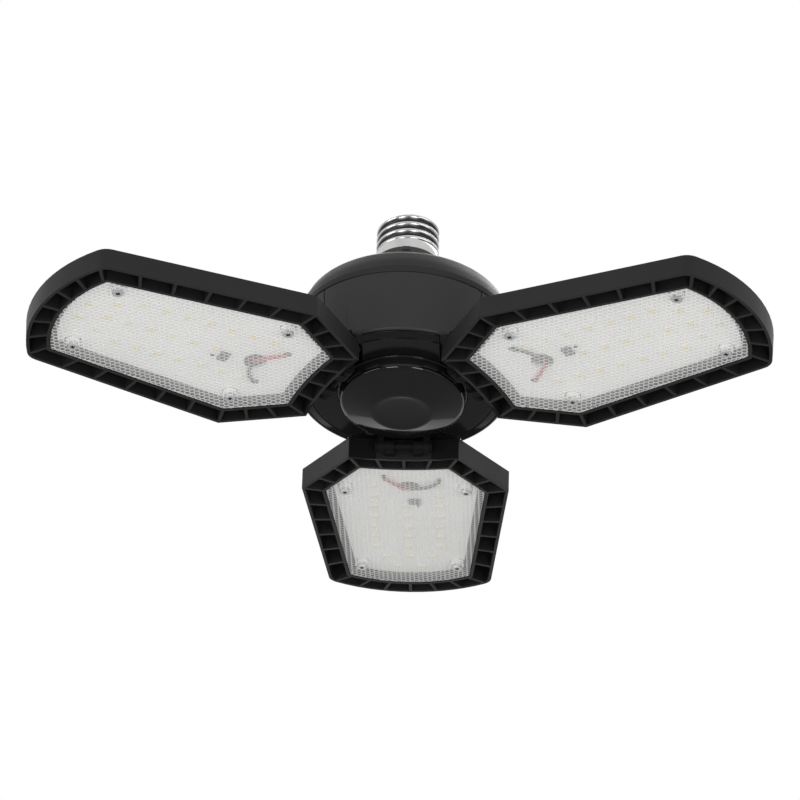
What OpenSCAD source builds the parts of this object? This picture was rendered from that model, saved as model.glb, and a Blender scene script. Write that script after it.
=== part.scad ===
// Folding garage light with three hinged light leaves round a hub that hangs
// from a screw base. The origin is the middle of the plain skirt of the screw
// shell, +Z points up into the lamp holder, and the leaves reach out below.
// Heights of the hub and the leaves are counted from the rim plane, which is
// the lower edge of a level leaf.

/* [Screw base] */
// Outer diameter of the shell's plain skirt
shell_d = 26.1; // [26.05:0.01:26.15]
// Length of the plain skirt
skirt_l = 5; // [4:0.5:6]
// Length of the threaded stretch above the skirt
thread_l = 12.4; // [11:0.1:14]
// Width of the centre contact
contact_d = 9.6; // [8.5:0.1:10.5]
// Drop from the middle of the skirt to the rim plane
rim_drop = 76.5; // [74:0.5:80]

/* [Hub] */
// Outer diameter of the hub
hub_d = 90; // [89:0.5:91]
// Wall of the hub body and the cap
hub_wall = 2.6; // [2.4:0.1:2.8]
// Outer diameter of the hub body's lower edge, where its draft ends
foot_d = 86.2; // [85.4:0.1:87]
// Lower edge of the hub body above the rim plane
hub_bottom = 10.6; // [10.5:0.1:11]
// Joint between the body and the cap above the rim plane
cap_joint = 37.2; // [34:0.2:40]
// Height of the cap's upright band
cap_band = 2.8; // [2:0.1:4]
// Height of the cap's shoulder over the band
cap_rise = 9.9; // [8:0.1:12]
// Diameter of the collar under the screw shell
collar_d = 27.4; // [26.8:0.2:29]
// Diameter of the groove round the flat faces of the lobes between the leaves
lobe_d = 74.6; // [73:0.2:76]
// Gap between a lobe's side and the corner of a leaf
lobe_gap = 1; // [0.9:0.05:2]
// Flat lower face of the lobes above the rim plane
lobe_bottom = 9.3; // [9:0.1:9.8]
// Underside of the carrier plate above the rim plane
plate_bottom = 12.3; // [12:0.1:13]
// Upper edge of the hub body's notches above the rim plane
notch_top = 14.6; // [14:0.1:15.2]
// Gap between a notch's side and the inner corner of a leaf
notch_gap = 0.8; // [0.5:0.05:2]

/* [Centre dish] */
// Widest diameter of the dish
dish_d = 52.8; // [48:0.2:56]
// Diameter of the flat disc in its middle
disc_d = 23.7; // [20:0.5:26]
// Height of the dish's lower edge above the rim plane
dish_edge = 3.8; // [3.4:0.1:4.6]
// Wall of the dish
dish_wall = 2; // [1.6:0.1:2.4]

/* [Hinges] */
// Distance of each hinge axis from the widest edge of the dish
hinge_gap = 3.8; // [3.4:0.1:5]
// Height of the hinge axis above the rim plane
hinge_z = 4; // [3.9:0.1:4.1]
// Diameter of the hinge pin
pin_d = 3; // [2.8:0.1:3.2]
// Radial clearance of the pin in the leaf's ears
pin_gap = 0.05; // [0.02:0.01:0.08]
// Diameter of the round ends of the ears and lugs
knuckle_d = 5.2; // [5:0.1:5.3]
// Thickness of a leaf's ear
ear_t = 3.6; // [3:0.1:3.8]
// Inner face of an ear from the leaf's middle
ear_at = 4; // [3.5:0.1:4.5]
// Room for the friction washer between an ear and its lug
washer_room = 0.5; // [0.4:0.05:0.7]
// Thickness of a bracket lug
lug_t = 2.5; // [2:0.1:3]
// Droop of leaf a as pictured
fold_a = 3.6; // [-10:0.1:90]
// Droop of leaf b as pictured
fold_b = 3.6; // [-10:0.1:90]
// Droop of leaf c as pictured, where a minus sign is a rise
fold_c = -8; // [-10:0.1:90]

/* [Leaf] */
// Distance of the leaf's inner edge from the hinge axis
leaf_gap = 4.3; // [4.1:0.1:5]
// Radius of the hollow curve of the inner edge
inner_r = 110; // [90:5:200]
// Half width at the inner corners
inner_half = 22.6; // [21:0.1:23]
// Distance of the widest corners from the hub's axis
flare_u = 61.8; // [58:0.2:66]
// Half width at the widest corners
flare_half = 43.1; // [40:0.1:46]
// Distance of the outer corners from the hub's axis
outer_u = 150.7; // [140:0.5:160]
// Half width at the outer corners
outer_half = 34.8; // [32:0.1:38]
// Distance of the leaf's tip from the hub's axis
tip_u = 161.8; // [160:0.2:164]
// Radius of the outer edge
outer_r = 60; // [55:1:66]
// Length of the rounding of the outer corners
corner_k = 3.2; // [2:0.1:5]
// Depth of the leaf's rim
leaf_h = 9; // [8.6:0.1:9]
// Width of the ribbed border round the lens
border = 9.4; // [8.8:0.1:10]
// Thickness of the rim, of the inner wall and of the ribs
rib_t = 1.3; // [1.1:0.1:1.6]
// Depth of the blind pockets of the border
pocket_h = 6.8; // [6:0.1:7]
// Width of the ledge that carries the gasket
ledge_w = 1.8; // [1.5:0.1:2]
// Thickness of the leaf's back plate
back_t = 2.2; // [1.8:0.1:2.6]
// Height of the cooling fins over the back plate
fin_h = 3; // [2:0.1:3.4]
// Number of cooling fins on each leaf
fin_count = 9; // [5:2:11]

/* [Light] */
// Thickness of the lens
lens_t = 1.6; // [1.4:0.1:1.8]
// Gap round the lens
lens_gap = 0.3; // [0.2:0.05:0.5]
// Thickness of the gasket
gasket_t = 0.6; // [0.4:0.1:0.8]
// Lower face of the circuit board above the rim plane
board_z = 3.6; // [3.5:0.1:3.7]
// Thickness of the circuit board
board_t = 1.4; // [1.2:0.1:1.5]
// Thickness of the thermal pad behind the board
pad_t = 0.2; // [0.1:0.05:0.3]
// Distance between the rows of chips
chip_row = 13.8; // [12:0.2:15]
// Distance between the chips of a row
chip_step = 9.65; // [9:0.05:10]
// Distance of the first chips from the hub's axis
chip_start = 65.6; // [64:0.2:67]
// Distance of the inner lens screws from the hub's axis
near_screw_u = 65.5; // [64:0.1:68]
// Distance of the inner lens screws from the leaf's middle line
near_screw_w = 25.3; // [23:0.1:27]
// Distance of the outer lens screws from the hub's axis
far_screw_u = 138; // [134:0.2:140]
// Distance of the outer lens screws from the leaf's middle line
far_screw_w = 20.5; // [19:0.1:22]
// Diameter of a lens screw's head
screw_head_d = 4.4; // [4:0.1:5]
// Diameter of a lens screw's shank
screw_d = 2.5; // [2:0.1:3]
// Diameter of the wires
wire_d = 1.3; // [1:0.1:1.4]
// Diameter of the wire hole in the board and the back plate
wire_hole_d = 6.4; // [6:0.2:7]
// Distance of the wire hole from the hub's axis
wire_hole_u = 67; // [65:0.1:68]
// Distance of the wire hole from the leaf's middle line
wire_hole_w = 3; // [2:0.1:4]

/* [Driver] */
// Diameter of the driver's circuit board
driver_d = 81.4; // [78:0.1:81.8]
// Height of the driver board above the rim plane
driver_z = 22; // [20:0.5:25]

/* [Hidden] */
$fn = 48;

charcoal = [0.2, 0.2, 0.21];
frame_grey = [0.17, 0.17, 0.18];
gloss_black = [0.04, 0.04, 0.05];
plated = [0.78, 0.78, 0.79];
steel = [0.62, 0.63, 0.65];

// Direction of each leaf round the hub
leaf_dirs = [210, 330, 90];
leaf_folds = [fold_a, fold_b, fold_c];
lobe_dirs = [for (dir = leaf_dirs) dir + 60];

hub_r = hub_d / 2;
hinge_u = dish_d / 2 + hinge_gap;
leaf_start = hinge_u + leaf_gap;
shell_r = shell_d / 2;
shell_bottom = -skirt_l / 2;
thread_top = skirt_l / 2 + thread_l;
shoulder_h = 1;
insulator_h = 3.2;
contact_h = 1.5;
insulator_top = thread_top + shoulder_h + insulator_h;
foot_r = foot_d / 2;
foot_wall = 1.3;
foot_bore_r = foot_r - foot_wall;
plate_t = 3;
plate_top = plate_bottom + plate_t;
plate_r = foot_bore_r - 0.2;
seam_line = 0.4;
cap_bottom = cap_joint + seam_line;
spigot_h = 4;
spigot_r = bore_at(cap_bottom - spigot_h) - 0.2;
ledge_t = 1.6;
shoulder_z = cap_bottom + cap_band + cap_rise;
collar_bottom = -12.5;
post_r = 3.6;
post_at = 17;
hub_screw_r = 1.5;
bracket_t = 1.5;
bracket_screw_r = 1;
bracket_screw_w = 3.6;
bracket_screw_l = 2.4;
grommet_r = 2.8;
hinge_half = ear_at + ear_t + washer_room + lug_t;
grommet_u = hinge_u - 0.2;
grommet_w = hinge_half + grommet_r + 0.3;

// Zones of the leaf's border, counted inwards from its outline
inner_wall_at = border - rib_t;
ledge_end = border + ledge_w;
board_inset = border + 3;
back_bottom = board_z + board_t + pad_t;
back_top = back_bottom + back_t;
ledge_bottom = lens_t + gasket_t;
flare_dir = atan2(flare_half - inner_half, flare_u - inner_corner_u());
long_dir = atan2(flare_half - outer_half, outer_u - flare_u);
inner_pockets = 4;
flare_pockets = 3;
long_pockets = 6;
outer_pockets = 6;
screw_spots = [[near_screw_u, near_screw_w], [near_screw_u, -near_screw_w],
    [far_screw_u, far_screw_w], [far_screw_u, -far_screw_w]];
boss_r = 2.9;
hole_spot = [wire_hole_u, -wire_hole_w];
red_pad = hole_spot + [-10, 12];
black_pad = hole_spot + [-7, -11];
pad_h = 0.3;

// Places of the parts on the driver board; each box has its corner and its size
capacitor_spot = [24, -17];
transformer_spot = [-22, 6];
coil_spot = [26, 0];
driver_boxes = [[[-6, 22], [12, 5, 10]], [[16, 12], [6, 10, 3]], [[-6, -28], [12, 8, 9]],
    [[4, -4], [8, 8, 2]]];

function above_rim(z) = z - rim_drop;

// Outer and inner radius of the hub body's tapered wall at a height above the rim plane
function wall_at(z) = foot_r + (hub_r - foot_r) * (z - hub_bottom) / (cap_joint - hub_bottom);
function bore_at(z) = wall_at(z) - hub_wall;

// Distance of the leaf's inner corner from the hub's axis
function inner_corner_u() = leaf_start - inner_r + sqrt(pow(inner_r, 2) - pow(inner_half, 2));

// Right-hand crossing of the line w = slope * u + rise with a circle centred on the leaf's middle line
function line_on_circle(slope, rise, centre, r) =
    let (k = 1 + slope * slope, half = slope * rise - centre,
        rest = centre * centre + rise * rise - r * r)
    (-half + sqrt(half * half - k * rest)) / k;

// Rise at u = 0 of the flare line and of the long side, both moved inwards by d
function flare_rise(d) = inner_half - inner_corner_u() * tan(flare_dir) - d / cos(flare_dir);
function long_rise(d) = flare_half + flare_u * tan(long_dir) - d / cos(long_dir);

// Corners of the outline moved inwards by d
function inner_corner(d) =
    let (u = line_on_circle(tan(flare_dir), flare_rise(d), leaf_start - inner_r, inner_r + d))
    [u, tan(flare_dir) * u + flare_rise(d)];
function flare_corner(d) =
    let (u = (long_rise(d) - flare_rise(d)) / (tan(flare_dir) + tan(long_dir)))
    [u, tan(flare_dir) * u + flare_rise(d)];
function outer_corner(d) =
    let (u = line_on_circle(-tan(long_dir), long_rise(d), tip_u - outer_r, outer_r - d))
    [u, long_rise(d) - tan(long_dir) * u];

// Half widths of a lobe and of a notch, from the leaf's inner corner
function lobe_half() = inner_corner_u() * sin(60) - inner_half * cos(60) - lobe_gap;
function notch_half() = inner_half + notch_gap;

function mix(p, q, s) = p + (q - p) * s;
function bend(p, q, r, s) = mix(mix(p, q, s), mix(q, r, s), s);

// Points of the two curved edges: s = 0 on the middle line and 1 at the corner
function inner_edge(s, d) =
    let (turn = s * asin(inner_corner(d)[1] / (inner_r + d)))
    [leaf_start - inner_r + (inner_r + d) * cos(turn), (inner_r + d) * sin(turn)];
function outer_edge(s, d) =
    let (turn = s * asin(outer_corner(d)[1] / (outer_r - d)))
    [tip_u - outer_r + (outer_r - d) * cos(turn), (outer_r - d) * sin(turn)];

// Length of the outer corners' rounding, which gets shorter as the outline moves inwards
function corner_length(d) =
    let (turn = 90 - asin(outer_corner(0)[1] / outer_r) - long_dir)
    max(corner_k - d * tan(turn / 2), 0.6);

// Half of the outline, from the inner edge's middle to the tip
function half_outline(d) =
    let (corner = outer_corner(d), flare = flare_corner(d), k = corner_length(d),
        before = corner + (flare - corner) / norm(flare - corner) * k,
        share = 1 - k / norm(corner - [tip_u - d, 0]))
    concat([for (s = [0 : 0.25 : 0.9]) inner_edge(s, d)], [inner_corner(d), flare],
        [for (s = [0 : 0.25 : 1]) bend(before, corner, outer_edge(share, d), s)],
        [for (s = [6 : -1 : 0]) outer_edge(share * s / 7, d)]);
function outline(d) =
    let (half = half_outline(d), last = len(half) - 1)
    concat(half, [for (i = [last - 1 : -1 : 1]) [half[i][0], -half[i][1]]]);

// Turns a leaf's own frame, with its rim plane at z = 0, into its place on the hub
module on_leaf(i) {
    rotate([0, 0, leaf_dirs[i]])
        translate([hinge_u, 0, above_rim(hinge_z)])
            rotate([0, leaf_folds[i], 0])
                translate([-hinge_u, 0, -hinge_z])
                    children();
}

// Turns a hub-side frame, level with the rim plane, to face leaf i
module facing_leaf(i) {
    rotate([0, 0, leaf_dirs[i]])
        translate([0, 0, above_rim(0)])
            children();
}

module slab(d, z0, z1) {
    translate([0, 0, z0])
        linear_extrude(z1 - z0)
            polygon(outline(d));
}

module frame_ring(d_out, d_in, z0, z1) {
    translate([0, 0, z0])
        linear_extrude(z1 - z0)
            difference() {
                polygon(outline(d_out));
                polygon(outline(d_in));
            }
}

module tube(r_out, r_in, z0, z1) {
    translate([0, 0, z0])
        difference() {
            cylinder(h = z1 - z0, r = r_out, $fn = 96);
            translate([0, 0, -1])
                cylinder(h = z1 - z0 + 2, r = r_in, $fn = 96);
        }
}

module rod(z0, z1, r) {
    translate([0, 0, z0])
        cylinder(h = z1 - z0, r = r);
}

// Wire through a list of points, with a ball at each bend
module wire(points, r) {
    for (i = [0 : len(points) - 2]) {
        run = points[i + 1] - points[i];
        translate(points[i])
            rotate([0, acos(run[2] / norm(run)), atan2(run[1], run[0])])
                cylinder(h = norm(run), r = r, $fn = 10);
        if (i > 0)
            translate(points[i])
                sphere(r = r + 0.04, $fn = 10);
    }
}

module screw_shell() {
    can = 0.5;
    color(plated)
        difference() {
            union() {
                rod(shell_bottom, skirt_l / 2, shell_r);
                rod(skirt_l / 2 - 0.1, thread_top, shell_r - 0.2);
                translate([0, 0, thread_top])
                    cylinder(h = shoulder_h, r1 = shell_r - 0.4, r2 = shell_r - 1.9);
            }
            rod(shell_bottom - 1, thread_top - 0.3, shell_r - 0.9);
            rod(thread_top - 1, thread_top + shoulder_h + 1, shell_r - 3);
        }
}

module base_insulator() {
    seat_r = shell_r - 3;
    color([0.86, 0.87, 0.87])
        difference() {
            union() {
                rod(thread_top - 2, thread_top + shoulder_h, seat_r);
                translate([0, 0, thread_top + shoulder_h])
                    cylinder(h = insulator_h, r1 = seat_r, r2 = contact_d / 2 + 0.6);
            }
            rod(thread_top - 3, insulator_top + 1, contact_d / 2 - 1.5);
        }
}

module centre_contact() {
    color([0.75, 0.68, 0.5]) {
        rod(insulator_top, insulator_top + contact_h * 0.6, contact_d / 2);
        translate([0, 0, insulator_top + contact_h * 0.6])
            cylinder(h = contact_h * 0.4, r1 = contact_d / 2, r2 = contact_d / 2 - 1.2);
        rod(insulator_top - 4, insulator_top, contact_d / 2 - 1.6);
    }
}

module base_collar() {
    tab_w = 3;
    color(gloss_black) {
        tube(collar_d / 2, 9, collar_bottom, shell_bottom);
        tube(shell_r - 1, 9, shell_bottom - 0.1, shell_bottom + 6);
        translate([-tab_w / 2, -collar_d / 2 - 0.5, shell_bottom - 2])
            cube([tab_w, 1.5, 1.8]);
    }
}

module top_cap() {
    z0 = above_rim(cap_bottom);
    z1 = above_rim(cap_bottom + cap_band);
    z2 = above_rim(shoulder_z);
    shoulder_r = hub_r - 3.1;
    collar_r = collar_d / 2 + 1.3;
    color(charcoal) {
        difference() {
            rotate_extrude($fn = 120)
                polygon([[0, z0 - spigot_h], [spigot_r, z0 - spigot_h],
                    [spigot_r, z0 - seam_line], [hub_r - 1.2, z0 - seam_line],
                    [hub_r - 1.2, z0], [hub_r, z0], [hub_r, z1], [hub_r - 0.8, z1 + 3], [shoulder_r, z2 - 1.6],
                    [shoulder_r - 1.2, z2], [shoulder_r - 3.4, z2 + 1.1],
                    [collar_r + 6, collar_bottom - 1.6], [collar_r, collar_bottom], [0, collar_bottom]]);
            rotate_extrude($fn = 120)
                polygon([[0, z0 - spigot_h - 1], [spigot_r - 2, z0 - spigot_h - 1],
                    [spigot_r - 2, z1], [shoulder_r - 2.6, z2 - 2], [shoulder_r - 5, z2 - 1.2],
                    [collar_r + 5, collar_bottom - 4.2], [0, collar_bottom - 3.6]]);
            rod(collar_bottom - 6, collar_bottom + 1, 8);
        }
        for (dir = leaf_dirs)
            rotate([0, 0, dir])
                translate([post_at, 0, 0])
                    difference() {
                        rod(above_rim(plate_top), collar_bottom - 3, post_r);
                        rod(above_rim(plate_bottom) - 1, above_rim(plate_top) + 12, hub_screw_r);
                    }
    }
}

// Tapered body with a rounded foot, a ledge over the carrier plate and one under the driver board
module hub_body() {
    seam_w = 0.6;
    seam_depth = 0.4;
    seam_low = notch_top + 2;
    seam_high = cap_joint + 1;
    round_h = 1.4;
    ledge_r = plate_r - 3;
    driver_ledge_r = driver_d / 2 - 2.4;
    low = plate_top + ledge_t;
    high = driver_z - ledge_t;
    color(charcoal)
        translate([0, 0, above_rim(0)])
            difference() {
                rotate_extrude($fn = 120)
                    polygon([[foot_bore_r, hub_bottom - 0.3], [foot_r - 0.8, hub_bottom - 0.1],
                        [foot_r - 0.2, hub_bottom + 0.4],
                        [wall_at(hub_bottom + round_h), hub_bottom + round_h],
                        [hub_r, cap_joint], [bore_at(cap_joint), cap_joint],
                        [bore_at(driver_z), driver_z], [driver_ledge_r, driver_z],
                        [driver_ledge_r, high], [bore_at(high), high], [bore_at(low), low],
                        [ledge_r, low], [ledge_r, plate_top], [foot_bore_r, plate_top]]);
                for (dir = leaf_dirs)
                    rotate([0, 0, dir])
                        translate([0, -notch_half(), hub_bottom - 1])
                            cube([hub_r + 1, 2 * notch_half(), notch_top - hub_bottom + 1]);
                for (dir = lobe_dirs, side = [-45, 45])
                    rotate([0, 0, dir + side])
                        translate([0, seam_w / 2, 0])
                            rotate([90, 0, 0])
                                linear_extrude(seam_w)
                                    polygon([[wall_at(seam_low) - seam_depth, seam_low],
                                        [wall_at(seam_high) - seam_depth, seam_high],
                                        [hub_r + 1, seam_high], [hub_r + 1, seam_low]]);
            }
}

// One lobe between two leaves, with its flat face, a groove and a sloping edge
module lobe() {
    heel = dish_d / 2 + 0.25;
    face_r = lobe_d / 2;
    groove = 0.6;
    root = plate_bottom + 1;
    intersection() {
        rotate_extrude($fn = 120)
            polygon([[heel, lobe_bottom], [face_r, lobe_bottom], [face_r, lobe_bottom + groove],
                [face_r + groove, lobe_bottom + groove], [face_r + groove, lobe_bottom + 0.1],
                [plate_r - 0.4, hub_bottom - 0.3], [plate_r - 0.4, root], [heel, root]]);
        translate([0, -lobe_half(), 0])
            cube([hub_r, 2 * lobe_half(), hub_r]);
    }
}

module hinge_carrier() {
    color(gloss_black)
        difference() {
            union() {
                rod(above_rim(plate_bottom), above_rim(plate_top), plate_r);
                for (dir = lobe_dirs)
                    rotate([0, 0, dir])
                        translate([0, 0, above_rim(0)])
                            lobe();
            }
            for (i = [0 : 2])
                facing_leaf(i) {
                    translate([post_at, 0, 0])
                        rod(plate_bottom - 1, plate_top + 1, hub_screw_r + 0.2);
                    translate([grommet_u, grommet_w, 0])
                        rod(plate_bottom - 1, plate_top + 1, grommet_r - 0.8);
                    for (w = [-bracket_screw_w, bracket_screw_w])
                        translate([hinge_u, w, 0])
                            rod(plate_bottom - 1, plate_bottom + bracket_screw_l, bracket_screw_r);
                }
        }
}

// Dish with a bead that meets the lobes, a steep wall and a cone down to the middle disc
module centre_dish() {
    r = dish_d / 2;
    t = dish_wall;
    edge_r = r - 1.3;
    disc_r = disc_d / 2;
    bead = lobe_bottom - 0.2;
    color(gloss_black)
        translate([0, 0, above_rim(0)])
            rotate_extrude($fn = 120)
                polygon([[r, plate_bottom], [r, bead], [r - 0.15, bead - 0.3], [r - 0.5, bead - 0.4],
                    [edge_r + 0.3, dish_edge + 1], [edge_r + 0.1, dish_edge + 0.3],
                    [edge_r - 0.4, dish_edge], [edge_r - 1.2, dish_edge - 0.3],
                    [disc_r + 1.6, 0], [disc_r + 0.6, -0.4], [disc_r - 0.6, -0.5],
                    [disc_r - 2, -0.2], [disc_r - 5, 0.1], [0, 0.3], [0, t + 0.3],
                    [disc_r, t - 0.2], [edge_r - t - 1.2, dish_edge + t - 0.6],
                    [edge_r - t, dish_edge + t + 1], [r - t, bead], [r - t, plate_bottom]]);
}

module driver_board() {
    z = above_rim(driver_z);
    color([0.12, 0.34, 0.2])
        difference() {
            rod(z, z + 1.6, driver_d / 2);
            for (dir = leaf_dirs)
                rotate([0, 0, dir])
                    translate([post_at, 0, 0])
                        rod(z - 1, z + 3, post_r + 0.3);
        }
}

module driver_capacitor() {
    z = above_rim(driver_z) + 1.6;
    color([0.1, 0.12, 0.3])
        translate(capacitor_spot) {
            rod(z, z + 0.6, 6);
            rod(z + 0.6, z + 19, 6.3);
        }
}

module driver_transformer() {
    z = above_rim(driver_z) + 1.6;
    core = [18, 15, 5];
    winding_r = 6.2;
    color([0.75, 0.62, 0.2])
        translate(concat(transformer_spot, z)) {
            for (level = [0, 11])
                translate([-core[0] / 2, -core[1] / 2, level])
                    cube(core);
            for (side = [-1, 1])
                translate([side * (core[0] / 2 - 1.25) - 1.25, -core[1] / 2, 4.9])
                    cube([2.5, core[1], 6.2]);
            rod(4.9, 11.1, winding_r);
        }
}

module driver_parts() {
    z = above_rim(driver_z) + 1.6;
    color([0.15, 0.15, 0.16]) {
        for (box = driver_boxes)
            translate(concat(box[0], z))
                cube(box[1]);
        translate(concat(coil_spot, z))
            cylinder(h = 8, r = 4);
    }
}

// Leads from the driver board to the shell and to the centre contact
module base_leads() {
    z = above_rim(driver_z) + 1.6;
    wall = shell_r - 0.9 - wire_d / 2;
    color([0.1, 0.1, 0.1])
        wire([[4, 8, z], [4, 8, z + 12], [4, 3, -22], [5, 1, -10], [6, 0, 3], [wall, 0, 7],
            [wall, 0, 9]], wire_d / 2);
    color([0.7, 0.1, 0.08])
        wire([[-4, 8, z], [-4, 8, z + 12], [-3, 3, -22], [0, 0, -10], [0, 0, insulator_top - 4]],
            wire_d / 2);
}

// Leads from the driver board to the three grommets in the carrier plate
module hub_leads() {
    gap = wire_d / 2 + 0.1;
    for (i = [0 : 2])
        facing_leaf(i)
            for (side = [-1, 1])
                color(side < 0 ? [0.1, 0.1, 0.1] : [0.7, 0.1, 0.08])
                    wire([[grommet_u - 2 + side, grommet_w + side * gap, driver_z],
                        [grommet_u - 2 + side, grommet_w + side * gap, driver_z - 2],
                        [grommet_u, grommet_w + side * gap, plate_top + 2],
                        [grommet_u, grommet_w + side * gap, plate_bottom - 1]], wire_d / 2);
}

module hub_grommets() {
    color([0.05, 0.05, 0.05])
        for (i = [0 : 2])
            facing_leaf(i)
                translate([grommet_u, grommet_w, 0])
                    difference() {
                        union() {
                            rod(plate_bottom - 1, plate_bottom, grommet_r);
                            rod(plate_bottom - 0.1, plate_top + 0.1, grommet_r - 0.9);
                            rod(plate_top, plate_top + 1, grommet_r);
                        }
                        rod(plate_bottom - 2, plate_top + 2, wire_d + 0.15);
                    }
}

// Screws that hold the carrier plate, the body and the cap together
module hub_screws() {
    color(steel)
        for (i = [0 : 2])
            facing_leaf(i)
                translate([post_at, 0, 0]) {
                    rod(plate_bottom - 2, plate_bottom, 2.8);
                    rod(plate_bottom - 0.1, plate_top + 11, hub_screw_r);
                }
}

module bracket_screws() {
    head = 1.2;
    seat = plate_bottom - bracket_t;
    color(steel)
        for (i = [0 : 2], w = [-bracket_screw_w, bracket_screw_w])
            facing_leaf(i)
                translate([hinge_u, w, 0]) {
                    rod(seat - head, seat, bracket_screw_r + 0.8);
                    rod(seat - 0.1, plate_bottom + bracket_screw_l, bracket_screw_r);
                }
}

module across(w0, w1, r) {
    translate([hinge_u, w0, hinge_z])
        rotate([-90, 0, 0])
            cylinder(h = w1 - w0, r = r);
}

// Steel bracket under the carrier plate, with a lug on each side of the leaf's ears
module hinge_bracket(i) {
    lug_at = hinge_half - lug_t;
    half_u = knuckle_d / 2;
    color(steel)
        facing_leaf(i)
            difference() {
                union() {
                    translate([hinge_u - half_u, -hinge_half, plate_bottom - bracket_t])
                        cube([2 * half_u, 2 * hinge_half, bracket_t]);
                    for (w = [-hinge_half, lug_at]) {
                        translate([hinge_u - half_u, w, hinge_z])
                            cube([2 * half_u, lug_t, plate_bottom - bracket_t / 2 - hinge_z]);
                        across(w, w + lug_t, half_u);
                    }
                }
                across(-hinge_half - 1, hinge_half + 1, pin_d / 2);
                for (w = [-bracket_screw_w, bracket_screw_w])
                    translate([hinge_u, w, 0])
                        rod(plate_bottom - bracket_t - 1, plate_bottom + 1, bracket_screw_r);
            }
}

module hinge_pin(i) {
    head = 1;
    color(plated)
        facing_leaf(i) {
            across(-hinge_half - 0.1, hinge_half + 0.1, pin_d / 2);
            across(-hinge_half - head, -hinge_half, pin_d / 2 + 0.7);
            across(hinge_half, hinge_half + head, pin_d / 2 + 0.7);
        }
}

module friction_washers(i) {
    play = 0.05;
    face = ear_at + ear_t;
    color(plated)
        facing_leaf(i)
            for (w = [-face - washer_room, face + play])
                difference() {
                    across(w, w + washer_room - play, knuckle_d / 2 - 0.1);
                    across(w - 1, w + washer_room + 1, pin_d / 2);
                }
}

// Bars across the border, from the rim to the inner wall
module border_rib(p, q) {
    run = q - p;
    side = [-run[1], run[0]] / norm(run) * rib_t / 2;
    linear_extrude(pocket_h + 0.2)
        polygon([p - side, q - side, q + side, p + side]);
}

module border_ribs() {
    d0 = rib_t / 2;
    d1 = inner_wall_at + rib_t / 2;
    for (side = [-1, 1]) {
        for (s = [1 : inner_pockets / 2]) {
            p = inner_edge(2 * s / inner_pockets, d0);
            q = inner_edge(2 * s / inner_pockets, d1);
            border_rib([p[0], side * p[1]], [q[0], side * q[1]]);
        }
        for (s = [1 : flare_pockets]) {
            p = mix(inner_corner(d0), flare_corner(d0), s / flare_pockets);
            q = mix(inner_corner(d1), flare_corner(d1), s / flare_pockets);
            border_rib([p[0], side * p[1]], [q[0], side * q[1]]);
        }
        for (s = [1 : long_pockets - 1]) {
            p = mix(flare_corner(d0), outer_corner(d0), s / long_pockets);
            q = mix(flare_corner(d1), outer_corner(d1), s / long_pockets);
            border_rib([p[0], side * p[1]], [q[0], side * q[1]]);
        }
        for (s = [1 : outer_pockets / 2]) {
            p = outer_edge(1.88 * s / outer_pockets, d0);
            q = outer_edge(1.88 * s / outer_pockets, d1);
            border_rib([p[0], side * p[1]], [q[0], side * q[1]]);
        }
    }
    border_rib(inner_edge(0, d0), inner_edge(0, d1));
    border_rib(outer_edge(0, d0), outer_edge(0, d1));
}

module cooling_fins() {
    fin_t = 1.6;
    step = 2 * (outer_half - ledge_end) / (fin_count - 1);
    intersection() {
        slab(ledge_end + 0.5, back_top - 0.2, back_top + fin_h);
        for (n = [0 : fin_count - 1])
            translate([leaf_start, (n - (fin_count - 1) / 2) * step - fin_t / 2, 0])
                cube([tip_u - leaf_start, fin_t, back_top + fin_h]);
    }
}

module leaf_ears() {
    for (w = [-ear_at - ear_t, ear_at]) {
        across(w, w + ear_t, knuckle_d / 2);
        translate([hinge_u, w, hinge_z - knuckle_d / 2])
            cube([leaf_start - hinge_u + rib_t / 2, ear_t, knuckle_d]);
    }
}

module panel_frame(i) {
    ear_end = ear_at + ear_t + 1;
    color(frame_grey)
        on_leaf(i)
            difference() {
                union() {
                    frame_ring(0, rib_t, 0, leaf_h);
                    frame_ring(rib_t / 2, ledge_end, pocket_h, leaf_h);
                    frame_ring(inner_wall_at, border, 0, pocket_h + 0.2);
                    frame_ring(border - 0.2, ledge_end, ledge_bottom, pocket_h + 0.2);
                    slab(ledge_end - 0.2, back_bottom, back_top);
                    border_ribs();
                    cooling_fins();
                    leaf_ears();
                    for (spot = screw_spots)
                        translate(spot)
                            rod(lens_t, back_bottom + 0.2, boss_r);
                }
                across(-ear_end, ear_end, pin_d / 2 + pin_gap);
                translate(hole_spot)
                    rod(back_bottom - 1, back_top + fin_h + 1, wire_hole_d / 2);
                for (spot = screw_spots)
                    translate(spot)
                        rod(lens_t - 1, back_top - 0.6, screw_d / 2);
            }
}

module led_board(i) {
    color([0.93, 0.93, 0.91])
        on_leaf(i)
            difference() {
                slab(board_inset, board_z, board_z + board_t);
                for (spot = screw_spots)
                    translate(spot)
                        rod(board_z - 1, board_z + board_t + 1, boss_r + 0.4);
                translate(hole_spot)
                    rod(board_z - 1, board_z + board_t + 1, wire_hole_d / 2);
            }
}

module thermal_pad(i) {
    color([0.6, 0.62, 0.66])
        on_leaf(i)
            difference() {
                slab(board_inset + 1, board_z + board_t, back_bottom);
                for (spot = screw_spots)
                    translate(spot)
                        rod(board_z, back_bottom + 1, boss_r + 0.8);
                translate(hole_spot)
                    rod(board_z, back_bottom + 1, wire_hole_d / 2 + 0.5);
            }
}

// Places of the chips: three rows that close in towards the tip
chip_spots = concat(
    [for (n = [0 : 6], row = [-1, 1]) [chip_start + n * chip_step, row * chip_row]],
    [for (n = [2 : 7]) [chip_start + n * chip_step, 0]],
    [for (row = [-1, 1]) [chip_start + 7 * chip_step, row * chip_row * 0.7]],
    [for (row = [-1, 1]) [chip_start + 8 * chip_step, row * chip_row * 0.37]]);

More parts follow.
